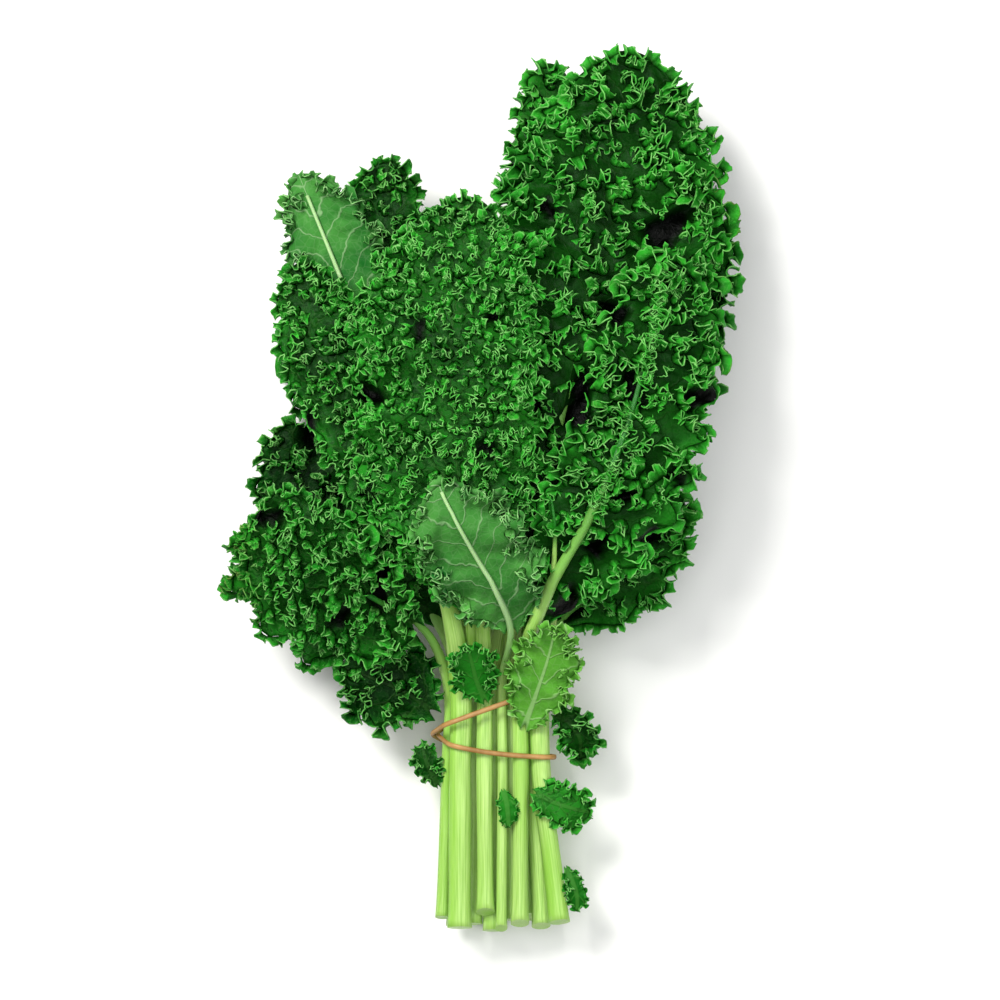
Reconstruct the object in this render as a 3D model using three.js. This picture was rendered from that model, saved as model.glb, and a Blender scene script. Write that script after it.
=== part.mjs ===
// A tied bunch of curly kale, lying on its side, in millimetres.
// X runs across the bunch, Y from the cut ends of the stems to the tips of the leaves, and Z up off
// the surface that it lies on. Each leaf is two colours of one grown thing: a pale stem, which runs
// on as the rib of the leaf, and a green blade, one thin ruffled sheet along that rib.
import * as THREE from 'three';

// The bunch as a whole
const CUT_END_Y = -195;
const TIE_Y = -105;
const TIE_LOW_Y = -124;
const TIE_HIGH_Y = -84;
const HALF_WIDTH = 112;

// The middle height of the bunch and half its depth, at places along Y
const MIDDLE_HEIGHTS = [
  [-200, 19], [-84, 22], [-60, 33], [-38, 41.5], [-10, 48.3], [60, 49], [130, 42.4], [200, 37],
];
const HALF_DEPTHS = [
  [-200, 13], [-84, 14], [-60, 23], [-38, 33.5], [-10, 41.2], [60, 43.6], [130, 38.6], [200, 25],
];
const THINNING_ABOVE = 0.5;
const THINNING_BELOW = 0.06;

// Blades
const BLADE_THICKNESS = 0.8;
const RUFFLE_LENGTH = 25;
const RUFFLE_HEIGHT = 5.8;
const LOBE_DEPTH = 0.15;
const LOBE_LENGTH = 18;
const BLADE_ROWS = 22;
const BLADE_COLUMNS = 6;
const LEAFLET_ROWS = 8;
const LEAFLET_COLUMNS = 4;

// How a blade widens from its foot and rounds off to its tip, in shares of its length, and how far
// its sides sweep back, in shares of its reach
const FOOT_SHARE = -0.08;
const WIDEST_SHARE = 0.42;
const ROUNDING_FROM = 0.62;
const ROUNDING_LENGTH = 0.45;
const TIP_SWEEP = 0.5;
const FOOT_SWEEP = 0.3;

// How far from its rib a blade comes down to the level of its leaf
const SETTLING_WIDTH = 15;

// Stems
const STEM_SIDES = 8;
const STEM_STEPS = [1, 1, 1, 4, 4, 2, 2, 2, 1];
const RIB_TIP_RADIUS = 0.8;
const RIB_REACH = 0.95;
const RIB_GAP = 0.8;
const TAPER_FROM = 0.3;
const END_DOME = 0.4;

// Rubber band
const BAND_RADIUS = 1.0;
const BAND_GAP = 0.6;
const BAND_SIDES = 6;
const BAND_STEPS = 56;
const BAND_RISE = 3;
const BAND_SPREAD = 16;
const BAND_CROSSING = 2.5;

// Every leaf: the level that it lies at in the depth of the bunch, from -1, the lowest, to 1; the side
// of the blade that its rib is on; the seat of its stem at the tie and at the cut end, each across
// and up; the stem's radius; the rib's route in plan; and the blade's widest reach left and right.
const LEAVES = [
  { level: 1.0, rib: 1, tie: [14.8, 35.4], cut: [14.4, 31.0], radius: 3.6, end: 0,
    route: [[20, -56], [32, -30], [47, -4], [62, 35], [73, 78], [77, 106]], left: 22, right: 34 },
  { level: 1.0, rib: -1, tie: [-1.4, 34.8], cut: [-1.0, 31.2], radius: 3.7, end: 5,
    route: [[-3, -50], [-9, -20], [-14, 20], [-16, 60], [-12, 98], [-7, 130]], left: 42, right: 38 },
  { level: 1.0, rib: -1, tie: [-18.2, 27.2], cut: [-20.6, 24.6], radius: 2.8, end: 3,
    route: [[-33, -57], [-47, -50], [-62, -40], [-76, -27], [-86, -11], [-90, 2]], left: 40, right: 22 },
  { level: 0.67, rib: -1, tie: [-12.4, 35.0], cut: [-12.6, 31.4], radius: 5.0, end: -1,
    route: [[-20, -44], [-38, -12], [-56, 22], [-74, 56], [-81, 84], [-83, 102]], left: 15, right: 33 },
  { level: 0.67, rib: -1, tie: [11.0, 26.4], cut: [11.4, 22.8], radius: 3.9, end: 2,
    route: [[12, -44], [24, 0], [36, 50], [48, 100], [58, 150], [64, 197]], left: 48, right: 52 },
  { level: 0.33, rib: 1, tie: [-6.8, 25.8], cut: [-7.2, 22.6], radius: 3.9, end: 0,
    route: [[-8.6, -42], [-27, 0], [-46, 46], [-62, 88], [-75, 120], [-84, 142]], left: 20, right: 26 },
  { level: 0.33, rib: -1, tie: [24.2, 34.4], cut: [32.6, 30.4], radius: 4.3, end: 1,
    route: [[30, -46], [44, -10], [62, 30], [80, 72], [92, 103], [100, 126]], left: 32, right: 22 },
  { level: 0.0, rib: -1, tie: [2.2, 26.0], cut: [2.2, 22.6], radius: 3.9, end: -3,
    route: [[8, -42], [12, 10], [16, 66], [20, 120], [25, 166], [28, 193]], left: 15, right: 24 },
  { level: 0.0, rib: -1, tie: [-2.6, 17.4], cut: [-3.0, 13.8], radius: 4.1, end: 2,
    route: [[-10, -42], [-22, 6], [-33, 56], [-39, 100], [-43, 130], [-45, 150]], left: 32, right: 17 },
  { level: 0.0, rib: -1, tie: [20.4, 25.6], cut: [24.2, 22.0], radius: 3.8, end: -2,
    route: [[34, -56], [48, -46], [61, -33], [70, -18], [76, -4], [78, 6]], left: 22, right: 20 },
  { level: -0.33, rib: -1, tie: [-12.4, 17.4], cut: [-14.6, 14.0], radius: 4.2, end: -2,
    route: [[-26, -54], [-46, -42], [-64, -26], [-78, -6], [-86, 16], [-88, 32]], left: 22, right: 34 },
  { level: -0.33, rib: -1, tie: [17.6, 17.0], cut: [19.6, 13.4], radius: 4.2, end: 1,
    route: [[22, -44], [40, -12], [56, 24], [70, 60], [78, 92], [80, 108]], left: 36, right: 32 },
  { level: -0.67, rib: -1, tie: [2.8, 9.0], cut: [2.6, 5.2], radius: 4.1, end: -4,
    route: [[-8, -40], [-24, 8], [-38, 54], [-48, 92], [-54, 118], [-56, 132]], left: 34, right: 26 },
  { level: -0.67, rib: -1, tie: [7.6, 16.8], cut: [8.2, 13.6], radius: 4.1, end: 3,
    route: [[10, -40], [24, 10], [38, 60], [48, 104], [56, 142], [60, 164]], left: 24, right: 38 },
  { level: -1.0, rib: -1, tie: [-6.8, 8.8], cut: [-8.6, 3.9], radius: 4.3, end: 0,
    route: [[-18, -44], [-36, -6], [-50, 34], [-60, 72], [-66, 100], [-68, 116]], left: 34, right: 34 },
  { level: -1.0, rib: -1, tie: [12.6, 8.8], cut: [14.4, 3.9], radius: 4.3, end: -1,
    route: [[16, -44], [32, -4], [46, 38], [56, 80], [64, 116], [68, 134]], left: 32, right: 36 },
  { level: 1.22, rib: 1, tie: [6.6, 34.4], cut: [6.0, 31.0], radius: 2.4, end: -2,
    route: [[10, -58], [4, -42], [-4, -28], [-12, -14], [-18, -3], [-21, 4]], left: 22, right: 24 },
];

// Every small leaf on the stems: its route from root to tip, and its widest reach to each side
const LEAFLETS = [
  { route: [[16.8, -103, 39], [22, -88, 49], [27, -72, 59], [30, -58, 68]], reach: 14, droop: 0.012 },
  { route: [[30.6, -99, 35], [36, -102, 37], [41, -109, 36], [42, -119, 31]], reach: 8, droop: 0.01 },
  { route: [[-1.4, -92, 39.5], [-5, -83, 47], [-7, -75, 55], [-9, -67, 63]], reach: 10, droop: 0.014 },
  { route: [[21.6, -134, 38.3], [30, -138, 39.6], [39, -141, 38], [46, -143, 33]], reach: 9.5, droop: 0.02 },
  { route: [[35.2, -168, 33], [38, -174, 34.5], [40, -180, 34], [40.2, -187, 31]], reach: 4.5, droop: 0.02 },
  { route: [[-22.5, -131, 28.4], [-25, -126, 30], [-28, -119, 31], [-29.5, -112, 29]], reach: 5.5,
    droop: 0.02 },
  { route: [[7, -133, 37.8], [8.4, -138, 38.8], [9, -143, 38.6], [9.4, -149, 37.4]], reach: 4.2,
    droop: 0.02 },
  { route: [[-26, -97, 30], [-35, -90, 33], [-48, -84, 36], [-66, -77, 37]], reach: 19, droop: 0.008 },
];

const DEEP_GREEN = 0x1d6a1f;
const STEM_GREEN = 0xafd877;
const BAND_TAN = 0xc8935a;

// A value that runs smoothly through pairs of place and value
function alongProfile(pairs, place) {
  const last = pairs[pairs.length - 1];
  if (place <= pairs[0][0]) return pairs[0][1];
  if (place >= last[0]) return last[1];
  const next = pairs.findIndex((pair) => pair[0] > place);
  const [startPlace, startValue] = pairs[next - 1];
  const [endPlace, endValue] = pairs[next];
  const share = (place - startPlace) / (endPlace - startPlace);
  const eased = (THREE.MathUtils.smoothstep(share, 0, 1) + share) / 2;
  return THREE.MathUtils.lerp(startValue, endValue, eased);
}

// How much of the full depth the bunch has at a place across it: domed above and nearly flat below
function depthShare(x, level) {
  const thinning = level > 0 ? THINNING_ABOVE : THINNING_BELOW;
  return Math.max(0.4, 1 - thinning * (x / HALF_WIDTH) ** 2);
}

// The height of a level of the bunch at a place in plan
function levelHeight(x, y, level) {
  return alongProfile(MIDDLE_HEIGHTS, y) + level * alongProfile(HALF_DEPTHS, y) * depthShare(x, level);
}

// The way straight out of a level at a place in plan
function levelNormal(x, y, level) {
  const step = 1;
  const slopeX = (levelHeight(x + step, y, level) - levelHeight(x - step, y, level)) / (2 * step);
  const slopeY = (levelHeight(x, y + step, level) - levelHeight(x, y - step, level)) / (2 * step);
  return new THREE.Vector3(-slopeX, -slopeY, 1).normalize();
}

// A closed body from points and faces, turned outwards
function closedGeometry(points, faces) {
  let volume = 0;
  for (const [a, b, c] of faces) {
    volume += points[a].dot(new THREE.Vector3().crossVectors(points[b], points[c]));
  }
  const outward = volume > 0 ? faces : faces.map(([a, b, c]) => [a, c, b]);
  const geometry = new THREE.BufferGeometry();
  geometry.setAttribute('position', new THREE.Float32BufferAttribute(points.flatMap((p) => p.toArray()), 3));
  geometry.setIndex(outward.flat());
  geometry.computeVertexNormals();
  return geometry;
}

// A thin sheet from rows of points: both faces are split into the same triangles
function sheetGeometry(rows, thickness) {
  const across = rows[0].length;
  const upper = [];
  const lower = [];
  rows.forEach((row, i) => row.forEach((point, j) => {
    const before = rows[Math.max(i - 1, 0)][j];
    const after = rows[Math.min(i + 1, rows.length - 1)][j];
    const left = row[Math.max(j - 1, 0)];
    const right = row[Math.min(j + 1, across - 1)];
    const normal = new THREE.Vector3().crossVectors(right.clone().sub(left), after.clone().sub(before));
    normal.setLength(thickness / 2);
    upper.push(point.clone().add(normal));
    lower.push(point.clone().sub(normal));
  }));
  for (const point of lower.concat(upper)) point.z = Math.max(point.z, 0);
  const points = upper.concat(lower);
  const shift = upper.length;
  const faces = [];
  for (let i = 0; i + 1 < rows.length; i += 1) {
    for (let j = 0; j + 1 < across; j += 1) {
      const a = i * across + j;
      const b = a + 1;
      const c = a + across;
      const d = c + 1;
      const pair = (i + j) % 2 ? [[a, b, d], [a, d, c]] : [[a, b, c], [b, d, c]];
      for (const [p, q, r] of pair) {
        faces.push([p, q, r]);
        faces.push([p + shift, r + shift, q + shift]);
      }
    }
  }
  const rim = [];
  for (let j = 0; j + 1 < across; j += 1) rim.push(j);
  for (let i = 0; i + 1 < rows.length; i += 1) rim.push(i * across + across - 1);
  for (let j = across - 1; j > 0; j -= 1) rim.push((rows.length - 1) * across + j);
  for (let i = rows.length - 1; i > 0; i -= 1) rim.push(i * across);
  rim.forEach((p, k) => {
    const q = rim[(k + 1) % rim.length];
    faces.push([p, p + shift, q + shift]);
    faces.push([p, q + shift, q]);
  });
  return closedGeometry(points, faces);
}

// A tube with closed, slightly domed ends through places, each with a centre, a radius and two axes
function tubeGeometry(places, sides, dome) {
  const points = [];
  const faces = [];
  for (const place of places) {
    for (let k = 0; k < sides; k += 1) {
      const angle = (2 * Math.PI * (k + 0.5)) / sides;
      const point = place.centre.clone();
      point.addScaledVector(place.side, place.radius * Math.cos(angle));
      point.addScaledVector(place.up, place.radius * Math.sin(angle));
      point.z = Math.max(point.z, 0);
      points.push(point);
    }
  }
  for (let i = 0; i + 1 < places.length; i += 1) {
    for (let k = 0; k < sides; k += 1) {
      const a = i * sides + k;
      const b = i * sides + ((k + 1) % sides);
      faces.push([a, b, b + sides]);
      faces.push([a, b + sides, a + sides]);
    }
  }
  const first = points.length;
  const last = places[places.length - 1];
  points.push(places[0].centre.clone().addScaledVector(places[0].along, -dome));
  points.push(last.centre.clone().addScaledVector(last.along, dome));
  const end = (places.length - 1) * sides;
  for (let k = 0; k < sides; k += 1) {
    const next = (k + 1) % sides;
    faces.push([first, next, k]);
    faces.push([first + 1, end + k, end + next]);
  }
  return closedGeometry(points, faces);
}

// The route of a leaf's middle line, from the cut end through the tie to the tip
function leafRoute(leaf) {
  const points = [
    new THREE.Vector3(leaf.cut[0], CUT_END_Y + leaf.end, leaf.cut[1]),
    new THREE.Vector3((leaf.cut[0] * 2 + leaf.tie[0]) / 3, CUT_END_Y + 24, leaf.cut[1]),
    new THREE.Vector3(leaf.tie[0], TIE_LOW_Y, leaf.tie[1]),
    new THREE.Vector3(leaf.tie[0], TIE_HIGH_Y, leaf.tie[1]),
  ];
  const bladeFrom = points.length;
  for (const [x, y] of leaf.route) points.push(new THREE.Vector3(x, y, levelHeight(x, y, leaf.level)));
  const curve = new THREE.CatmullRomCurve3(points, false, 'centripetal');
  return { curve, start: bladeFrom / (points.length - 1) };
}

// Places at even steps along part of a curve, each with its way along and across
function placesAlong(curve, from, to, steps) {
  const fine = 240;
  const lengths = [0];
  const points = [curve.getPoint(from)];
  for (let i = 1; i <= fine; i += 1) {
    points.push(curve.getPoint(THREE.MathUtils.lerp(from, to, i / fine)));
    lengths.push(lengths[i - 1] + points[i].distanceTo(points[i - 1]));
  }
  const total = lengths[fine];
  const places = [];
  for (let i = 0; i <= steps; i += 1) {
    const index = Math.max(1, lengths.findIndex((length) => length >= (total * i) / steps - 1e-6));
    const share = ((total * i) / steps - lengths[index - 1]) / (lengths[index] - lengths[index - 1]);
    const along = points[Math.min(index + 2, fine)].clone().sub(points[Math.max(index - 3, 0)]).normalize();
    const side = new THREE.Vector3(along.y, -along.x, 0).normalize();
    places.push({
      centre: points[index - 1].clone().lerp(points[index], share),
      along,
      side,
      up: new THREE.Vector3().crossVectors(side, along),
      share: i / steps,
      length: total,
    });
  }
  return places;
}

// The share of its widest reach that a blade has at a share of its length
function widthShare(share) {
  const base = THREE.MathUtils.smoothstep(share, FOOT_SHARE, WIDEST_SHARE) ** 0.8;
  const tip = Math.sqrt(1 - (Math.max(0, share - ROUNDING_FROM) / ROUNDING_LENGTH) ** 2);
  return base * tip;
}

// One blade along its places: the reach to each side, the surface that it lies on, and its ruffles
function bladeGeometry(places, reachLeft, reachRight, surface, ruffle, seed, columns) {
  const rows = places.map((place) => {
    const row = [];
    for (let j = -columns / 2; j <= columns / 2; j += 1) {
      const across = (2 * j) / columns;
      const reach = across < 0 ? reachLeft : reachRight;
      const travel = place.share * place.length;
      const wave = Math.sin((2 * Math.PI * travel) / LOBE_LENGTH + seed * 2.1 + across);
      const lobes = 1 + LOBE_DEPTH * across ** 2 * wave;
      const out = reach * across * widthShare(place.share) * lobes;
      const sweep = TIP_SWEEP * place.share ** 5 + FOOT_SWEEP * (1 - place.share) ** 4;
      const back = across ** 2 * reach * sweep;
      const point = place.centre.clone();
      point.addScaledVector(place.side, out);
      point.addScaledVector(new THREE.Vector3(place.along.x, place.along.y, 0), -back);
      const spread = Math.abs(out) / Math.max(reachLeft, reachRight);
      const height = ruffle.height * depthShare(point.x, 1) * spread ** 1.3;
      const phase = (2 * Math.PI * travel) / ruffle.length + seed * 1.7 + (across < 0 ? 1.3 : 0);
      point.z = surface(place, point, Math.abs(out)) + height * Math.sin(phase);
      point.z = Math.max(point.z, BLADE_THICKNESS / 2);
      row.push(point);
    }
    return row;
  });
  return sheetGeometry(rows, BLADE_THICKNESS);
}

const group = new THREE.Group();
const bladeMaterial = new THREE.MeshStandardMaterial({ color: DEEP_GREEN, roughness: 0.55, metalness: 0 });
const stemMaterial = new THREE.MeshStandardMaterial({ color: STEM_GREEN, roughness: 0.45, metalness: 0 });
const bandMaterial = new THREE.MeshStandardMaterial({ color: BAND_TAN, roughness: 0.6, metalness: 0 });

function addMesh(name, geometry, material) {
  const mesh = new THREE.Mesh(geometry, material);
  mesh.name = name;
  group.add(mesh);
}

// The stem of a leaf: round in the bundle, then the tapering rib that keeps just clear of the blade
function stemGeometry(leaf, route) {
  const parameters = [0];
  STEM_STEPS.forEach((steps, segment) => {
    for (let i = 1; i <= steps; i += 1) parameters.push((segment + i / steps) / STEM_STEPS.length);
  });
  const places = parameters.map((parameter) => {
    const along = route.curve.getTangent(parameter * RIB_REACH);
    const side = new THREE.Vector3(along.y, -along.x, 0).normalize();
    const up = new THREE.Vector3().crossVectors(side, along);
    return { centre: route.curve.getPoint(parameter * RIB_REACH), along, side, up, share: parameter };
  });
  const bladePlace = route.curve.getPoint(route.start);
  for (const place of places) {
    const grown = THREE.MathUtils.smoothstep(place.share, TAPER_FROM, 1);
    place.radius = THREE.MathUtils.lerp(leaf.radius, RIB_TIP_RADIUS, grown ** 0.8);
    const near = THREE.MathUtils.smoothstep(place.centre.y, TIE_HIGH_Y, bladePlace.y);
    const clear = (place.radius + RIB_GAP + BLADE_THICKNESS / 2) * near;
    const out = levelNormal(place.centre.x, place.centre.y, leaf.level);
    place.centre.addScaledVector(out, leaf.rib * clear);
  }
  return tubeGeometry(places, STEM_SIDES, END_DOME);
}

LEAVES.forEach((leaf, index) => {
  const name = `leaf_${String(index + 1).padStart(2, '0')}`;
  const route = leafRoute(leaf);
  const places = placesAlong(route.curve, route.start, 1, BLADE_ROWS);
  const surface = (place, point, out) => {
    const lift = place.centre.z - levelHeight(place.centre.x, place.centre.y, leaf.level);
    return levelHeight(point.x, point.y, leaf.level) + lift * Math.exp(-out / SETTLING_WIDTH);
  };
  const ruffle = { length: RUFFLE_LENGTH, height: RUFFLE_HEIGHT };
  addMesh(`${name}_stem`, stemGeometry(leaf, route), stemMaterial);
  addMesh(
    `${name}_blade`,
    bladeGeometry(places, leaf.left, leaf.right, surface, ruffle, index, BLADE_COLUMNS),
    bladeMaterial,
  );
});

LEAFLETS.forEach((leaflet, index) => {
  const points = leaflet.route.map((place) => new THREE.Vector3(...place));
  const curve = new THREE.CatmullRomCurve3(points, false, 'centripetal');
  const places = placesAlong(curve, 0, 1, LEAFLET_ROWS);
  const surface = (place, point, out) => place.centre.z - leaflet.droop * out ** 2;
  const ruffle = { length: leaflet.reach * 1.1, height: leaflet.reach * 0.14 };
  addMesh(
    `leaflet_${String(index + 1).padStart(2, '0')}`,
    bladeGeometry(places, leaflet.reach, leaflet.reach, surface, ruffle, index, LEAFLET_COLUMNS),
    bladeMaterial,
  );
});

// The outline of the stems at the tie, as a taut loop that keeps clear of them, from the left round
function tieOutline(clear) {
  const outline = [];
  const directions = 720;
  for (let i = 0; i < directions; i += 1) {
    const angle = Math.PI + (2 * Math.PI * i) / directions;
    const way = new THREE.Vector2(Math.cos(angle), Math.sin(angle));
    let reach = -Infinity;
    let point = null;
    for (const leaf of LEAVES) {
      const seat = new THREE.Vector2(...leaf.tie);
      if (seat.dot(way) + leaf.radius > reach) {
        reach = seat.dot(way) + leaf.radius;
        point = seat.addScaledVector(way, leaf.radius + clear);
      }
    }
    outline.push(point);
  }
  return new THREE.Path(outline.concat([outline[0]]));
}

// The rubber band: one closed loop, wound twice round the stems and crossing itself on the left
function bandGeometry() {
  const outline = tieOutline(BAND_RADIUS + BAND_GAP);
  const middle = new THREE.Vector2();
  const loop = outline.getSpacedPoints(BAND_STEPS / 2).slice(0, BAND_STEPS / 2);
  for (const point of loop) middle.addScaledVector(point, 1 / loop.length);
  const centres = [];
  for (let i = 0; i < BAND_STEPS; i += 1) {
    const turn = (4 * Math.PI * i) / BAND_STEPS;
    const point = loop[i % loop.length].clone();
    const out = point.clone().sub(middle).normalize();
    point.addScaledVector(out, BAND_CROSSING * Math.max(0, Math.cos((turn - 2 * Math.PI) / 2)) ** 3);
    const y = TIE_Y - BAND_RISE * Math.cos(turn) + BAND_SPREAD * Math.sin(turn / 2);
    centres.push(new THREE.Vector3(point.x, y, point.y));
  }
  const points = [];
  const faces = [];
  centres.forEach((centre, i) => {
    const before = centres[(i + BAND_STEPS - 1) % BAND_STEPS];
    const after = centres[(i + 1) % BAND_STEPS];
    const along = after.clone().sub(before).normalize();
    const out = new THREE.Vector3(centre.x - middle.x, 0, centre.z - middle.y);
    out.addScaledVector(along, -out.dot(along)).normalize();
    const side = new THREE.Vector3().crossVectors(along, out);
    for (let k = 0; k < BAND_SIDES; k += 1) {
      const angle = (2 * Math.PI * k) / BAND_SIDES;
      const point = centre.clone().addScaledVector(out, BAND_RADIUS * Math.cos(angle));
      points.push(point.addScaledVector(side, BAND_RADIUS * Math.sin(angle)));
      const a = i * BAND_SIDES + k;
      const b = i * BAND_SIDES + ((k + 1) % BAND_SIDES);
      const c = ((i + 1) % BAND_STEPS) * BAND_SIDES + k;
      const d = ((i + 1) % BAND_STEPS) * BAND_SIDES + ((k + 1) % BAND_SIDES);
      faces.push([a, b, d]);
      faces.push([a, d, c]);
    }
  });
  return closedGeometry(points, faces);
}
addMesh('rubber_band', bandGeometry(), bandMaterial);

// The origin is the middle of the footprint, on the surface that the bunch lies on
const footprint = new THREE.Box3().setFromObject(group).getCenter(new THREE.Vector3());
group.position.set(-footprint.x, -footprint.y, 0);

export default group;
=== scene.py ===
import math

import bmesh
import bpy
import numpy as np
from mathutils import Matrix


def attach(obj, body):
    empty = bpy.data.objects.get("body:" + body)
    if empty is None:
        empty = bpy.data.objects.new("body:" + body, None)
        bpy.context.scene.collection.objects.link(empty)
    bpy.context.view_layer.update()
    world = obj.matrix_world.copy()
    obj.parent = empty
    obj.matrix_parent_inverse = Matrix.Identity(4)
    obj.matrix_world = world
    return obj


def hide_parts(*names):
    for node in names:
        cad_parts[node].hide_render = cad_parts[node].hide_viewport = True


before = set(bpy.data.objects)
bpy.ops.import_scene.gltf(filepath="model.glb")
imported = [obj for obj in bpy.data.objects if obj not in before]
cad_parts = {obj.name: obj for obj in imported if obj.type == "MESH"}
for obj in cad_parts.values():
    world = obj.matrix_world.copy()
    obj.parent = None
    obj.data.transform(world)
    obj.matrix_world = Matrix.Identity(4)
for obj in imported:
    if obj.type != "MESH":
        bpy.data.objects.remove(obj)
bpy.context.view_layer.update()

# The stage: a plain pale floor under the bunch, soft light from large panels, and a camera that
# looks straight down on it, with the tips of the leaves at the top of the picture.
MM = 0.001
PHOTO_WIDTH = 0.4425
PHOTO_CENTRE = (0.0093, -0.0015)
FOCUS_HEIGHT = 0.060
LENS = 150.0
SENSOR = 36.0
FLOOR_SIZE = 6.0
FLOOR_HEIGHT = -0.0004


def srgb(code):
    """A hex colour as linear red, green and blue."""
    parts = [int(code[i:i + 2], 16) / 255 for i in (1, 3, 5)]
    return [c / 12.92 if c <= 0.04045 else ((c + 0.055) / 1.055) ** 2.4 for c in parts] + [1.0]


def add_node(tree, kind, settings):
    """Adds a node to a material, with its settings, and a value or a linked socket for each input."""
    node = tree.nodes.new("ShaderNode" + kind)
    for name, value in settings.items():
        if isinstance(value, bpy.types.NodeSocket):
            tree.links.new(value, node.inputs[name])
        elif isinstance(name, int) or name in node.inputs:
            node.inputs[name].default_value = value
        else:
            setattr(node, name, value)
    return node


def new_material(name):
    """An empty material, with its Principled shader."""
    material = bpy.data.materials.new(name)
    material.use_nodes = True
    tree = material.node_tree
    tree.nodes.clear()
    shader = add_node(tree, "BsdfPrincipled", {})
    add_node(tree, "OutputMaterial", {"Surface": shader.outputs[0]})
    return material, tree, shader


def add_area_light(name, place, turn, size, power, colour):
    """A soft rectangular light, turned by degrees from looking straight down."""
    bpy.ops.object.light_add(type="AREA", location=place, rotation=[math.radians(a) for a in turn])
    light = bpy.context.object
    light.name = name
    light.data.shape = "RECTANGLE"
    light.data.size, light.data.size_y = size
    light.data.energy = power
    light.data.color = colour


bpy.ops.object.select_all(action="DESELECT")
camera_height = FOCUS_HEIGHT + PHOTO_WIDTH * LENS / SENSOR
bpy.ops.object.camera_add(location=(PHOTO_CENTRE[0], PHOTO_CENTRE[1], camera_height), rotation=(0, 0, 0))
camera = bpy.context.object
camera.name = "camera"
camera.data.lens = LENS
camera.data.sensor_width = SENSOR
camera.data.clip_end = 20
bpy.context.scene.camera = camera

add_area_light("key_light", (-0.7, 0.8, 1.5), (-28, -25, 0), (0.6, 0.6), 34, (1.0, 0.985, 0.96))
add_area_light("fill_light", (1.1, -0.3, 1.4), (12, 38, 0), (1.2, 1.2), 8, (0.96, 0.98, 1.0))
add_area_light("top_light", (0.0, 0.0, 2.4), (0, 0, 0), (1.6, 1.6), 30, (1.0, 1.0, 1.0))
world = bpy.data.worlds.new("studio")
bpy.context.scene.world = world
world.use_nodes = True
background = world.node_tree.nodes["Background"]
background.inputs["Color"].default_value = (1.0, 1.0, 1.0, 1.0)
background.inputs["Strength"].default_value = 0.2
bpy.context.scene.view_settings.view_transform = "Standard"

bpy.ops.mesh.primitive_plane_add(size=FLOOR_SIZE, location=(0, 0, FLOOR_HEIGHT))
floor = bpy.context.object
floor.name = "floor"
floor_material, floor_tree, floor_shader = new_material("matte_white_board")
floor_shader.inputs["Base Color"].default_value = srgb("#f6f6f4")
floor_shader.inputs["Roughness"].default_value = 0.9
floor.data.materials.append(floor_material)
bpy.ops.object.transform_apply(location=True, rotation=True, scale=True)

# The rubber band: natural rubber, cut from a tube and wound twice round the stems, so that its two
# turns cross on the left and stand apart on the right. It is stretched tight and slightly flat.
# The leaves' own places, in millimetres, are here, because the band lies round their stems.
TIE_Y = -105.0
BAND_RADIUS = 1.0
BAND_GAP = 0.6
BAND_RISE = 3.0
BAND_SPREAD = 16.0
BAND_CROSSING = 2.5
BAND_STEPS = 220
BAND_SIDES = 12
BAND_HALF_WIDTH = 1.15
BAND_HALF_THICKNESS = 0.8
ORIGIN_SHIFT = (3.805, 1.159, 0.0)

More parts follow.
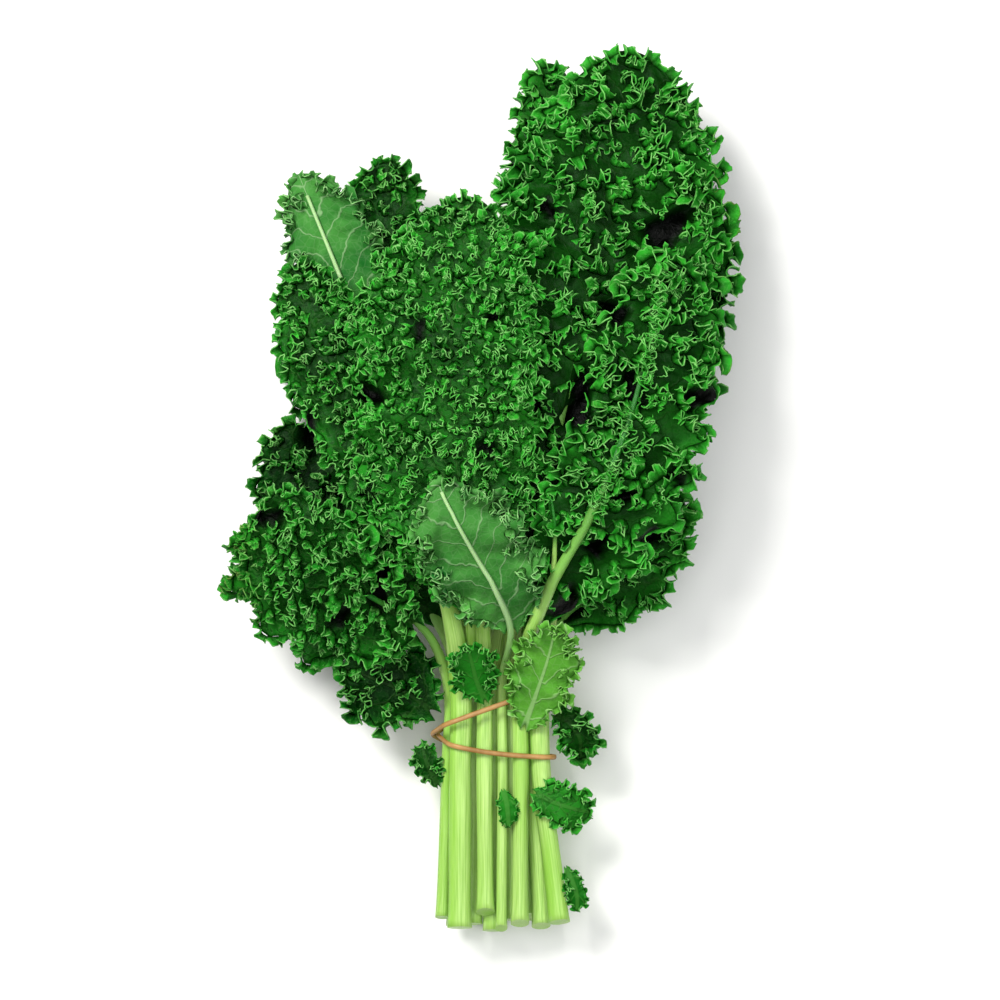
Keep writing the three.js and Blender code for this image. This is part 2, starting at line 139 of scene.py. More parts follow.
# Every leaf: its level in the depth of the bunch, the side that its rib is on, the seat of its stem at
# the tie and at the cut end, the stem's radius, how far its end is from the others, the rib's route in
# plan, and its widest reach left and right.
LEAVES = [
    dict(level=1.0, rib=1, tie=(14.8, 35.4), cut=(14.4, 31.0), radius=3.6, end=0,
         route=[(20, -56), (32, -30), (47, -4), (62, 35), (73, 78), (77, 106)], left=22, right=34),
    dict(level=1.0, rib=-1, tie=(-1.4, 34.8), cut=(-1.0, 31.2), radius=3.7, end=5,
         route=[(-3, -50), (-9, -20), (-14, 20), (-16, 60), (-12, 98), (-7, 130)], left=42, right=38),
    dict(level=1.0, rib=-1, tie=(-18.2, 27.2), cut=(-20.6, 24.6), radius=2.8, end=3,
         route=[(-33, -57), (-47, -50), (-62, -40), (-76, -27), (-86, -11), (-90, 2)], left=40, right=22),
    dict(level=0.67, rib=-1, tie=(-12.4, 35.0), cut=(-12.6, 31.4), radius=5.0, end=-1,
         route=[(-20, -44), (-38, -12), (-56, 22), (-74, 56), (-81, 84), (-83, 102)], left=15, right=33),
    dict(level=0.67, rib=-1, tie=(11.0, 26.4), cut=(11.4, 22.8), radius=3.9, end=2,
         route=[(12, -44), (24, 0), (36, 50), (48, 100), (58, 150), (64, 197)], left=48, right=52),
    dict(level=0.33, rib=1, tie=(-6.8, 25.8), cut=(-7.2, 22.6), radius=3.9, end=0,
         route=[(-8.6, -42), (-27, 0), (-46, 46), (-62, 88), (-75, 120), (-84, 142)], left=20, right=26),
    dict(level=0.33, rib=-1, tie=(24.2, 34.4), cut=(32.6, 30.4), radius=4.3, end=1,
         route=[(30, -46), (44, -10), (62, 30), (80, 72), (92, 103), (100, 126)], left=32, right=22),
    dict(level=0.0, rib=-1, tie=(2.2, 26.0), cut=(2.2, 22.6), radius=3.9, end=-3,
         route=[(8, -42), (12, 10), (16, 66), (20, 120), (25, 166), (28, 193)], left=15, right=24),
    dict(level=0.0, rib=-1, tie=(-2.6, 17.4), cut=(-3.0, 13.8), radius=4.1, end=2,
         route=[(-10, -42), (-22, 6), (-33, 56), (-39, 100), (-43, 130), (-45, 150)], left=32, right=17),
    dict(level=0.0, rib=-1, tie=(20.4, 25.6), cut=(24.2, 22.0), radius=3.8, end=-2,
         route=[(34, -56), (48, -46), (61, -33), (70, -18), (76, -4), (78, 6)], left=22, right=20),
    dict(level=-0.33, rib=-1, tie=(-12.4, 17.4), cut=(-14.6, 14.0), radius=4.2, end=-2,
         route=[(-26, -54), (-46, -42), (-64, -26), (-78, -6), (-86, 16), (-88, 32)], left=22, right=34),
    dict(level=-0.33, rib=-1, tie=(17.6, 17.0), cut=(19.6, 13.4), radius=4.2, end=1,
         route=[(22, -44), (40, -12), (56, 24), (70, 60), (78, 92), (80, 108)], left=36, right=32),
    dict(level=-0.67, rib=-1, tie=(2.8, 9.0), cut=(2.6, 5.2), radius=4.1, end=-4,
         route=[(-8, -40), (-24, 8), (-38, 54), (-48, 92), (-54, 118), (-56, 132)], left=34, right=26),
    dict(level=-0.67, rib=-1, tie=(7.6, 16.8), cut=(8.2, 13.6), radius=4.1, end=3,
         route=[(10, -40), (24, 10), (38, 60), (48, 104), (56, 142), (60, 164)], left=24, right=38),
    dict(level=-1.0, rib=-1, tie=(-6.8, 8.8), cut=(-8.6, 3.9), radius=4.3, end=0,
         route=[(-18, -44), (-36, -6), (-50, 34), (-60, 72), (-66, 100), (-68, 116)], left=34, right=34),
    dict(level=-1.0, rib=-1, tie=(12.6, 8.8), cut=(14.4, 3.9), radius=4.3, end=-1,
         route=[(16, -44), (32, -4), (46, 38), (56, 80), (64, 116), (68, 134)], left=32, right=36),
    dict(level=1.22, rib=1, tie=(6.6, 34.4), cut=(6.0, 31.0), radius=2.4, end=-2,
         route=[(10, -58), (4, -42), (-4, -28), (-12, -14), (-18, -3), (-21, 4)], left=22, right=24),
]


def tie_outline(clear, count):
    """The taut loop round the stems at the tie, as evenly spaced places, from the left round."""
    angles = math.pi + np.linspace(0, 2 * math.pi, 1440, endpoint=False)
    way = np.stack([np.cos(angles), np.sin(angles)], axis=1)
    seats = np.array([leaf["tie"] for leaf in LEAVES])
    radii = np.array([leaf["radius"] for leaf in LEAVES])
    furthest = np.argmax(way @ seats.T + radii, axis=1)
    points = seats[furthest] + way * (radii[furthest] + clear)[:, None]
    points = np.vstack([points, points[:1]])
    lengths = np.concatenate([[0], np.cumsum(np.linalg.norm(np.diff(points, axis=0), axis=1))])
    places = np.linspace(0, lengths[-1], count, endpoint=False)
    return np.stack([np.interp(places, lengths, points[:, i]) for i in (0, 1)], axis=1)


def band_route(steps):
    """The middle line of the band, all the way round twice."""
    loop = tie_outline(BAND_RADIUS + BAND_GAP, steps // 2)
    middle = loop.mean(axis=0)
    turn = 4 * math.pi * np.arange(steps) / steps
    points = np.vstack([loop, loop])
    out = points - middle
    out /= np.linalg.norm(out, axis=1)[:, None]
    lift = BAND_CROSSING * np.maximum(0, np.cos((turn - 2 * math.pi) / 2)) ** 3
    points = points + out * lift[:, None]
    along = TIE_Y - BAND_RISE * np.cos(turn) + BAND_SPREAD * np.sin(turn / 2)
    return np.stack([points[:, 0], along, points[:, 1]], axis=1), out


def in_frame(points):
    """Places in the bunch's own millimetres, as metres from the middle of its footprint."""
    return (np.asarray(points) + ORIGIN_SHIFT) * MM


def new_piece(name, mesh_object, materials, nodes):
    """Names a finished piece, gives it its materials and body, and hides the nodes it stands for."""
    mesh_object.name = name
    mesh_object.data.name = name
    mesh_object.data.materials.clear()
    for material in materials:
        mesh_object.data.materials.append(material)
    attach(mesh_object, "root")
    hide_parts(*nodes)


def bent_from_torus(points, across, up, half_width, half_thickness, sides):
    """A torus primitive, bent so that its ring follows a closed line."""
    count = len(points)
    bpy.ops.mesh.primitive_torus_add(major_segments=count, minor_segments=sides)
    ring = bpy.context.object
    place = np.repeat(np.arange(count), sides)
    angle = np.tile(2 * math.pi * np.arange(sides) / sides, count)
    vertices = points[place] + half_width * np.cos(angle)[:, None] * across[place]
    vertices = vertices + half_thickness * np.sin(angle)[:, None] * up[place]
    ring.data.vertices.foreach_set("co", in_frame(vertices).ravel())
    ring.data.update()
    bpy.ops.object.mode_set(mode="EDIT")
    bpy.ops.mesh.select_all(action="SELECT")
    bpy.ops.mesh.normals_make_consistent(inside=False)
    bpy.ops.object.mode_set(mode="OBJECT")
    return ring


band_points, band_out = band_route(BAND_STEPS)
band_along = np.roll(band_points, -1, axis=0) - np.roll(band_points, 1, axis=0)
band_along /= np.linalg.norm(band_along, axis=1)[:, None]
band_up = np.stack([band_out[:, 0], np.zeros(BAND_STEPS), band_out[:, 1]], axis=1)
band_up -= band_along * np.sum(band_up * band_along, axis=1)[:, None]
band_up /= np.linalg.norm(band_up, axis=1)[:, None]
band_side = np.cross(band_along, band_up)
band = bent_from_torus(band_points, band_side, band_up, BAND_HALF_WIDTH, BAND_HALF_THICKNESS, BAND_SIDES)
bpy.ops.object.shade_smooth()


def noise(tree, vector, scale, detail=2.0, **settings):
    """An even random pattern."""
    settings = {"Vector": vector, "Scale": scale, "Detail": detail} | settings
    return add_node(tree, "TexNoise", settings).outputs["Fac"]


def colour_ramp(tree, factor, stops):
    """The colour at a factor, between stops that each have a place and a hex colour."""
    ramp = add_node(tree, "ValToRGB", {"Fac": factor})
    elements = ramp.color_ramp.elements
    elements[0].position = stops[0][0]
    elements[1].position = stops[-1][0]
    for place, code in stops[1:-1]:
        elements.new(place)
    for element, (place, code) in zip(elements, stops):
        element.color = srgb(code)
    return ramp.outputs["Color"]


# Natural rubber, dusted after it is cut: a dull tan with slightly darker, dirtier patches
band_material, tree, shader = new_material("natural_rubber")
dirt = noise(tree, add_node(tree, "TexCoord", {}).outputs["Object"], 180.0, 4.0)
rubber_colour = colour_ramp(tree, dirt, [(0.3, "#8e6630"), (0.7, "#b78c50")])
tree.links.new(rubber_colour, shader.inputs["Base Color"])
shader.inputs["Roughness"].default_value = 0.5
shader.inputs["Subsurface Weight"].default_value = 0.05
shader.inputs["Subsurface Radius"].default_value = (0.002, 0.001, 0.0005)
new_piece("rubber_band_wound", band, [band_material], ["rubber_band"])

# The stems: each is the leaf's stalk, juicy and ribbed lengthwise, thick and cut on a slant at its lower
# end, held by the band, and then the rib of the leaf, which tapers towards the tip. Where two middle
# heights or half depths of the bunch are given, they are places along it and millimetres there.
CUT_END_Y = -195.0
TIE_LOW_Y = -124.0
TIE_HIGH_Y = -84.0
HALF_WIDTH = 112.0
MIDDLE_HEIGHTS = [(-200, 19), (-84, 22), (-60, 33), (-38, 41.5), (-10, 48.3), (60, 49), (130, 42.4),
                  (200, 37)]
HALF_DEPTHS = [(-200, 13), (-84, 14), (-60, 23), (-38, 33.5), (-10, 41.2), (60, 43.6), (130, 38.6),
               (200, 25)]
THINNING_ABOVE = 0.5
THINNING_BELOW = 0.06
LEAST_DEPTH_SHARE = 0.4
BLADE_THICKNESS = 0.8
RIB_TIP_RADIUS = 0.8
RIB_REACH = 0.95
RIB_GAP = 0.8
STEM_SIDES = 14
STEM_STEPS = 90
STEM_RIDGES = 7
STEM_LOBES = 3
RIDGE_HEIGHT = 0.04
FLARE_HEIGHT = 0.14
FLARE_REACH = 9.0
SLANTS = (1.5, 5.0)
SLANT_REACH = 14.0
LEAST_HEIGHT = 0.02
PALE_SIDE_UP = {6, 17}
SIDE_RIB = [(27.2, -45), (28.6, -36), (29.4, -24), (29.2, -12), (27.8, -2)]
SIDE_RIB_LEVEL = 1.07
SIDE_RIB_RADII = (1.5, 0.5)
SIDE_RIB_STEPS = 30
STRING_SCALE = (46.0, 9.0, 1.0)
STREAK_SCALE = (110.0, 5.0, 110.0)
RIB_STARTS = 0.42
RIB_IS_FULL = 0.56
RIB_HALF_WAY = 0.58
RIB_GREEN_FROM = 0.74


def smoothstep(value, low, high):
    """A value's share of the way from low to high, eased at both ends."""
    share = np.clip((np.asarray(value, dtype=float) - low) / (high - low), 0, 1)
    return share * share * (3 - 2 * share)


def along_profile(pairs, place):
    """A value that runs smoothly through pairs of place and value."""
    at, value = np.array(pairs, dtype=float).T
    place = np.asarray(place, dtype=float)
    index = np.clip(np.searchsorted(at, place, side="right") - 1, 0, len(at) - 2)
    share = np.clip((place - at[index]) / (at[index + 1] - at[index]), 0, 1)
    eased = (share * share * (3 - 2 * share) + share) / 2
    return value[index] + (value[index + 1] - value[index]) * eased


def depth_share(x, level):
    """How much of its full depth the bunch has across it: domed above and nearly flat below."""
    thinning = THINNING_ABOVE if level > 0 else THINNING_BELOW
    return np.maximum(LEAST_DEPTH_SHARE, 1 - thinning * (np.asarray(x) / HALF_WIDTH) ** 2)


def level_height(x, y, level):
    """The height of a level of the bunch at a place in plan."""
    return along_profile(MIDDLE_HEIGHTS, y) + level * along_profile(HALF_DEPTHS, y) * depth_share(x, level)


def level_normal(x, y, level):
    """The way straight out of a level of the bunch at a place in plan."""
    slope_x = (level_height(x + 1, y, level) - level_height(x - 1, y, level)) / 2
    slope_y = (level_height(x, y + 1, level) - level_height(x, y - 1, level)) / 2
    normal = np.stack([-slope_x, -slope_y, np.ones_like(slope_x)], axis=-1)
    return normal / np.linalg.norm(normal, axis=-1)[..., None]


def smooth_curve(points, parameters):
    """Places on the centripetal curve through points, at shares of it from 0 to 1."""
    points = np.asarray(points, dtype=float)
    ends = np.vstack([2 * points[0] - points[1], points, 2 * points[-1] - points[-2]])
    scaled = np.clip(parameters, 0, 1) * (len(points) - 1)
    index = np.minimum(scaled.astype(int), len(points) - 2)
    weight = (scaled - index)[:, None]
    p0, p1, p2, p3 = (ends[index + i] for i in range(4))
    g0, g1, g2 = (np.sqrt(np.linalg.norm(b - a, axis=1))[:, None] for a, b in ((p0, p1), (p1, p2), (p2, p3)))
    start = ((p1 - p0) / g0 - (p2 - p0) / (g0 + g1) + (p2 - p1) / g1) * g1
    finish = ((p2 - p1) / g1 - (p3 - p1) / (g1 + g2) + (p3 - p2) / g2) * g1
    bend = -3 * p1 + 3 * p2 - 2 * start - finish
    twist = 2 * p1 - 2 * p2 + start + finish
    return p1 + start * weight + bend * weight ** 2 + twist * weight ** 3


def leaf_route(leaf):
    """The points of a leaf's middle line, from the cut end to the tip, and where its blade starts."""
    cut, tie = leaf["cut"], leaf["tie"]
    points = [
        (cut[0], CUT_END_Y + leaf["end"], cut[1]),
        ((cut[0] * 2 + tie[0]) / 3, CUT_END_Y + 24, cut[1]),
        (tie[0], TIE_LOW_Y, tie[1]),
        (tie[0], TIE_HIGH_Y, tie[1]),
    ]
    start = len(points)
    for x, y in leaf["route"]:
        points.append((x, y, float(level_height(x, y, leaf["level"]))))
    return np.array(points), start / (len(points) - 1)


def even_places(points, start, end, count):
    """Evenly spaced places along part of a route, with the way along, across and up at each."""
    fine = smooth_curve(points, np.linspace(start, end, 900))
    lengths = np.concatenate([[0], np.cumsum(np.linalg.norm(np.diff(fine, axis=0), axis=1))])
    travel = np.linspace(0, lengths[-1], count)
    centre = np.stack([np.interp(travel, lengths, fine[:, i]) for i in range(3)], axis=1)
    along = np.gradient(centre, axis=0)
    along /= np.linalg.norm(along, axis=1)[:, None]
    side = np.stack([along[:, 1], -along[:, 0], np.zeros(count)], axis=1)
    side /= np.linalg.norm(side, axis=1)[:, None]
    return centre, along, side, np.cross(side, along), travel


def tube_along(centre, along, side, up, radii, travel, slant):
    """A tube from a grid primitive, rolled up along a line, with a slanting cut at its first end."""
    rings, sides = radii.shape
    bpy.ops.mesh.primitive_grid_add(x_subdivisions=sides, y_subdivisions=rings - 1, size=2)
    tube = bpy.context.object
    edit = bmesh.new()
    edit.from_mesh(tube.data)
    edit.verts.ensure_lookup_table()
    for vertex in edit.verts:
        column, ring = vertex.index % (sides + 1), vertex.index // (sides + 1)
        angle = 2 * math.pi * (column % sides) / sides
        reach = radii[ring, column % sides]
        near_cut = max(0, 1 - travel[ring] / SLANT_REACH)
        place = centre[ring] + reach * (math.cos(angle) * side[ring] + math.sin(angle) * up[ring])
        place = place + along[ring] * slant * (1 + math.sin(angle)) / 2 * near_cut
        vertex.co = in_frame([place[0], place[1], max(place[2], LEAST_HEIGHT)])
    bmesh.ops.remove_doubles(edit, verts=edit.verts, dist=1e-7)
    loops = [edge for edge in edit.edges if edge.is_boundary]
    bmesh.ops.holes_fill(edit, edges=loops, sides=0)
    bmesh.ops.recalc_face_normals(edit, faces=edit.faces)
    for face in edit.faces:
        face.smooth = len(face.verts) == 4
        face.material_index = 0 if face.smooth else 1
    edit.to_mesh(tube.data)
    edit.free()
    return tube


def remap(tree, value, low, high, first=0.0, last=1.0):
    """A value taken from one range to another, and kept inside it."""
    return add_node(tree, "MapRange", {0: value, 1: low, 2: high, 3: first, 4: last}).outputs[0]


def mix_colours(tree, share, first, second):
    """A colour between two."""
    return add_node(tree, "Mix", {"data_type": "RGBA", 0: share, 6: first, 7: second}).outputs[2]


def stalk_material(name, rib_codes):
    """Stalk skin with strings lengthwise, which changes along the rib through three colours."""
    material, tree, shader = new_material(name)
    marks = add_node(tree, "UVMap", {"uv_map": "UVMap"}).outputs["UV"]
    length_share = add_node(tree, "SeparateXYZ", {"Vector": marks}).outputs["Y"]
    string_place = add_node(tree, "Mapping", {"Vector": marks, "Scale": STRING_SCALE})
    strings = noise(tree, string_place.outputs["Vector"], 1.0, 3.0, Roughness=0.6)
    string_colour = colour_ramp(tree, strings, [(0.3, "#7fae42"), (0.7, "#bfe285")])
    place = add_node(tree, "TexCoord", {}).outputs["Object"]
    streak_place = add_node(tree, "Mapping", {"Vector": place, "Scale": STREAK_SCALE})
    streaks = noise(tree, streak_place.outputs["Vector"], 1.0, 1.0)
    streak_part = remap(tree, streaks, 0.45, 0.7, 0.0, 0.75)
    stalk_colour = mix_colours(tree, streak_part, string_colour, srgb("#86bf3c"))
    rib_stops = [(RIB_STARTS, "#b2db78"), (RIB_HALF_WAY, rib_codes[0]), (RIB_GREEN_FROM, rib_codes[1])]
    rib_colour = colour_ramp(tree, length_share, rib_stops)
    rib_part = remap(tree, length_share, RIB_STARTS, RIB_IS_FULL)
    tree.links.new(mix_colours(tree, rib_part, stalk_colour, rib_colour), shader.inputs["Base Color"])
    bump = add_node(tree, "Bump", {"Strength": 0.5, "Distance": 0.0006, "Height": strings})
    tree.links.new(bump.outputs["Normal"], shader.inputs["Normal"])
    shader.inputs["Roughness"].default_value = 0.36
    shader.inputs["Specular IOR Level"].default_value = 0.3
    shader.inputs["Subsurface Weight"].default_value = 0.2
    shader.inputs["Subsurface Radius"].default_value = (0.0025, 0.003, 0.001)
    return material


# Fresh leaf stalk, cut with a knife: pale yellow green, waxy, with fine lengthwise strings. The rib is
# the green of the blade near the tip, or whitish where a leaf shows its back. The cut end is moist and
# paler, with fibres that have begun to dry.
stem_material = stalk_material("fresh_stalk", ("#7db552", "#1a6c18"))
pale_rib_material = stalk_material("fresh_stalk_of_leaf_back", ("#8fc06c", "#a5cc8c"))
end_material, tree, shader = new_material("cut_stalk_end")
place = add_node(tree, "TexCoord", {}).outputs["Object"]
fibres = add_node(tree, "TexVoronoi", {"Vector": place, "Scale": 900.0}).outputs["Distance"]
end_colour = colour_ramp(tree, fibres, [(0.0, "#e6edbc"), (1.0, "#b3ad72")])
tree.links.new(end_colour, shader.inputs["Base Color"])
shader.inputs["Roughness"].default_value = 0.5

for number, leaf in enumerate(LEAVES, start=1):
    points, blade_start = leaf_route(leaf)
    centre, along, side, up, travel = even_places(points, 0, RIB_REACH, STEM_STEPS)
    share = travel / travel[-1]
    grown = smoothstep(share, 0.3, 1) ** 0.8
    radius = leaf["radius"] + (RIB_TIP_RADIUS - leaf["radius"]) * grown
    blade_y = smooth_curve(points, np.array([blade_start]))[0, 1]
    near = smoothstep(centre[:, 1], TIE_HIGH_Y, blade_y)
    clear = (radius + RIB_GAP + BLADE_THICKNESS / 2) * near
    centre = centre + leaf["rib"] * clear[:, None] * level_normal(centre[:, 0], centre[:, 1], leaf["level"])
    draw = np.random.default_rng(100 + number)
    angle = 2 * math.pi * np.arange(STEM_SIDES) / STEM_SIDES
    ridge = RIDGE_HEIGHT * np.cos(STEM_RIDGES * angle + draw.uniform(0, 6))
    ridge = ridge + RIDGE_HEIGHT * np.cos(STEM_LOBES * angle + draw.uniform(0, 6))
    flare = 1 + FLARE_HEIGHT * np.exp(-travel / FLARE_REACH) + 0.02 * np.sin(travel / 11 + number)
    radii = radius[:, None] * flare[:, None] * (1 + ridge[None, :])
    stem = tube_along(centre, along, side, up, radii, travel, draw.uniform(*SLANTS))
    if number == 1:
        fork = np.array([(x, y, float(level_height(x, y, SIDE_RIB_LEVEL))) for x, y in SIDE_RIB])
        branch, fork_along, fork_side, fork_up, fork_travel = even_places(fork, 0, 1, SIDE_RIB_STEPS)
        fork_radii = np.repeat(np.linspace(*SIDE_RIB_RADII, SIDE_RIB_STEPS)[:, None], STEM_SIDES, axis=1)
        side_rib = tube_along(branch, fork_along, fork_side, fork_up, fork_radii, fork_travel, 0.0)
        side_rib.select_set(True)
        stem.select_set(True)
        bpy.context.view_layer.objects.active = stem
        bpy.ops.object.join()
    new_piece(f"leaf_{number:02d}_stalk", stem,
              [pale_rib_material if number in PALE_SIDE_UP else stem_material, end_material],
              [f"leaf_{number:02d}_stem"])

# The leaf blades: one thin sheet each, grown along the rib, deep green and smooth above, paler, dull and
# veined below. Its margin has grown faster than its middle and stands in curls, which carry smaller
# curls and end in a pale, finely cut edge. More curls stand in round tufts all over the sheet.
SHEET_THICKNESS = 0.45
SHEET_CLEARANCE = 0.4
RUFFLE_LENGTH = 25.0
RUFFLE_HEIGHT = 5.8
LOBE_DEPTH = 0.15
LOBE_LENGTH = 18.0
RIM_SHARE = 0.93
PUCKER_HEIGHT = 0.6
CRUMPLE_HEIGHT = 1.7
CURL_HEIGHTS = np.array([0, 0.4, 0.7, 0.9, 1.0])
CURL_STEP_SHARE = 0.0688
LEAST_STEP = 0.42
LEAST_STEPS = 14
WAVE_LENGTHS = (1, 0.43, 0.25)
WAVE_SWINGS = (0.48, 0.42, 0.34)
WAVE_POWERS = (0.7, 1.5, 3.0)
SLIPS = ((0, 0.12, 1.2), (1, 0.048, 2), (2, 0.02, 3))
ROW_SHARE = 0.87
DRIFT = 0.3
TUFT_SIZES = (0.75, 1.3)
TUFT_SWEEPS = (3.2, 5.6)
TUFT_LEANS = (0.35, 1.15)
TUFT_HEIGHTS = (0.8, 1.15)
TUFT_LIGHT_CHANGE = 0.16
TUFT_END = 0.97
FULL_TURN = 6.3
PATH_BLUR = 25
TUFT_BLUR = 5

# How much painted light each blade's sheet has, lower values being painted shade, and how its curls are:
# their height, the length of their waves, the size of the tufts they stand in and those tufts' spacing, in
# millimetres, the share of the blade's width that is bare beside the rib, the share of its length from which
# they cover the rib too, where on the leaf they begin, how low they are in the gaps among the tufts, the
# leaf's tone, how far its skin is gathered in tiny curls, with their painted shade and light, and the steps
# of its mesh in millimetres
USUAL_CURLS = dict(inner=0.0, rib_from=0, begin=0.1, gaps=0.4, frill=0.4)
CURLS = {
    1: dict(open=0.04, height=8.5, wave=6.5, tuft=3.9, spacing=8.6, inner=0.14, rib_from=0.27,
            begin=0.04, gaps=0.5, tone=0.6, frill=0.25, mesh=2.2),
    2: dict(open=0.14, height=6.4, wave=4.4, tuft=2.8, spacing=6.3, begin=0.0, gaps=0.3,
            tone=0.65, frill=0.7, mesh=3.0),
    3: dict(open=0.12, height=7, wave=4.8, tuft=3.1, spacing=6.9, begin=0.0, tone=0.5, frill=0.6, mesh=2.8),
    4: dict(open=0.1, height=6.8, wave=4.6, tuft=3.0, spacing=6.8, begin=0.05, tone=0.5, frill=0.6, mesh=2.8),
    5: dict(open=0.04, height=9, wave=6.5, tuft=4.0, spacing=9.0, begin=0.2, gaps=0.55,
            tone=0.6, frill=0.3, mesh=2.4),
    6: dict(open=0.6, height=6, wave=6, tuft=3.5, spacing=9, inner=0.72, rib_from=0.93,
            begin=0.3, tone=0.4, frill=0.0, mesh=2.0),
    7: dict(open=0.08, height=10, wave=6.5, tuft=4.2, spacing=10.5, gaps=0.6, tone=0.5, frill=0.3, mesh=2.8),
    8: dict(open=0.2, height=8, wave=6, tuft=3.6, spacing=9.5, begin=0.4, tone=0.6, mesh=2.8),
    9: dict(open=0.1, height=7, wave=4.8, tuft=3.0, spacing=8, begin=0.3, gaps=0.3,
            tone=0.5, frill=0.6, mesh=2.8),
    10: dict(open=0.1, height=9, wave=6, tuft=3.8, spacing=9.5, gaps=0.5, tone=0.65, mesh=3.0),
    11: dict(open=0.1, height=8, wave=5, tuft=3.2, spacing=8.5, tone=0.35, frill=0.5, mesh=3.4),
    12: dict(open=0.1, height=9, wave=6.5, tuft=4, spacing=11, gaps=0.5, tone=0.4, mesh=3.4),
    13: dict(open=0.25, height=8, wave=8, tuft=5, spacing=15, inner=0.5, begin=0.3, tone=0.4, mesh=4.0),
    14: dict(open=0.25, height=8, wave=8, tuft=5, spacing=15, inner=0.5, begin=0.3, tone=0.4, mesh=4.0),
    15: dict(open=0.4, height=8, wave=8, tuft=5, spacing=15, inner=2.0, rib_from=1,
             begin=0.3, gaps=0.3, tone=0.35, frill=0.3, mesh=3.4),
    16: dict(open=0.4, height=8, wave=8, tuft=5, spacing=15, inner=2.0, rib_from=1,
             begin=0.3, gaps=0.3, tone=0.45, frill=0.3, mesh=3.4),
    17: dict(open=0.5, height=5.5, wave=5.5, tuft=3, spacing=7, inner=0.7, inner_right=0.5, rib_from=1,
             begin=0.25, gaps=0.0, tone=0.5, frill=0.0, mesh=1.5),
}
# The deep gaps in which the bunch is open, lowered and painted nearly black as shade: place in plan, and
# reach across and along
DARK_GAPS = [
    (78, 116, 11, 8), (56, 79, 5, 7), (40, 38, 6.5, 10), (64, 43, 6, 7), (92, 42, 8, 5), (-48, -43, 5, 8),
    (26, 126, 6, 3), (-80, 26, 6, 6), (-50, 42, 6, 4.5), (3, 77, 3.5, 3), (21, 39, 3, 3), (0, 20, 4.5, 3.5),
    (60, -1, 6, 3), (48, -23, 4, 6), (72, -19, 6, 4), (83, 8, 6, 3), (36, -50, 5, 11), (-96, -10, 6, 4),
    (-66, -55, 5, 4), (-30, 70, 4, 3),
]
GAP_DEPTH = 5.0
OPEN_GAP = 0.75
PATCH_LIGHT_CHANGE = 0.2

# The skin's pattern: the side veins' spacing in millimetres and their slope, the net's cells to the
# millimetre, and how fine the clouds, the breaks in the edge, the folds and the blisters are, to the
# metre. Outermost is how far from the middle, in metres, dried edges begin and are at their most.
VEIN_SPACING = 12.0
VEIN_SLOPE = 1.0
NET_SCALE = 0.3
CLOUD_SCALE = 45.0
EDGE_SCALE = 260.0
FOLD_SCALE = 300.0
BLISTER_SCALE = 420.0
OUTERMOST = (0.088, 0.108)


def wander(draw, places, length):
    """A smooth random run of values of about -1 to 1, which changes over about a length."""
    total = np.zeros_like(places, dtype=float)
    for share in (1.0, 0.61, 0.37):
        wave = length * share * draw.uniform(0.85, 1.15)
        total += share * np.sin(2 * math.pi * places / wave + draw.uniform(0, FULL_TURN))
    return total / 1.98


def clumps(place):
    """Where the curls stand in clumps, 1, and where there are gaps among them, 0."""
    x, y = place[:, 0], place[:, 1]
    total = np.sin(x / 6.1 + 1.9 * np.sin(y / 11)) + np.sin(y / 6.7 + 1.7 * np.sin(x / 9 + 2))
    total = total + 0.8 * np.sin((x + y) / 4.1 + 1) * np.sin((x - y) / 5.2 + 2)
    return smoothstep(total, -1.3, 0.5)


def light_and_shade_patch(place):
    """How the tone of the curls changes from one part of the bunch to the next, as painted light and shade
    among the clumps: about -1 to 1.
    """
    x, y = place[:, 0], place[:, 1]
    return 0.5 * (np.sin(x / 4.7 + 1.6 * np.sin(y / 9) + 1) + np.sin(y / 5.3 + 1.4 * np.sin(x / 8)))


def gap_share(place):
    """How far a place is in one of the deep gaps: 1 in its middle, 0 outside it."""
    deepest = np.zeros(place.shape[:-1])
    for x, y, across, along in DARK_GAPS:
        off = np.hypot((place[..., 0] - x) / across, (place[..., 1] - y) / along)
        way = np.arctan2(place[..., 1] - y, place[..., 0] - x)
        off = off * (1 + 0.28 * np.sin(2 * way + x) + 0.22 * np.sin(3 * way + y))
        deepest = np.maximum(deepest, 1 - smoothstep(off, 0.7, 1.15))
    return deepest


def width_share(share):
    """How wide a blade is at a share of its length, as a share of its reach."""
    base = smoothstep(share, -0.08, 0.42) ** 0.8
    return base * np.sqrt(1 - (np.maximum(0, share - 0.62) / 0.45) ** 2)


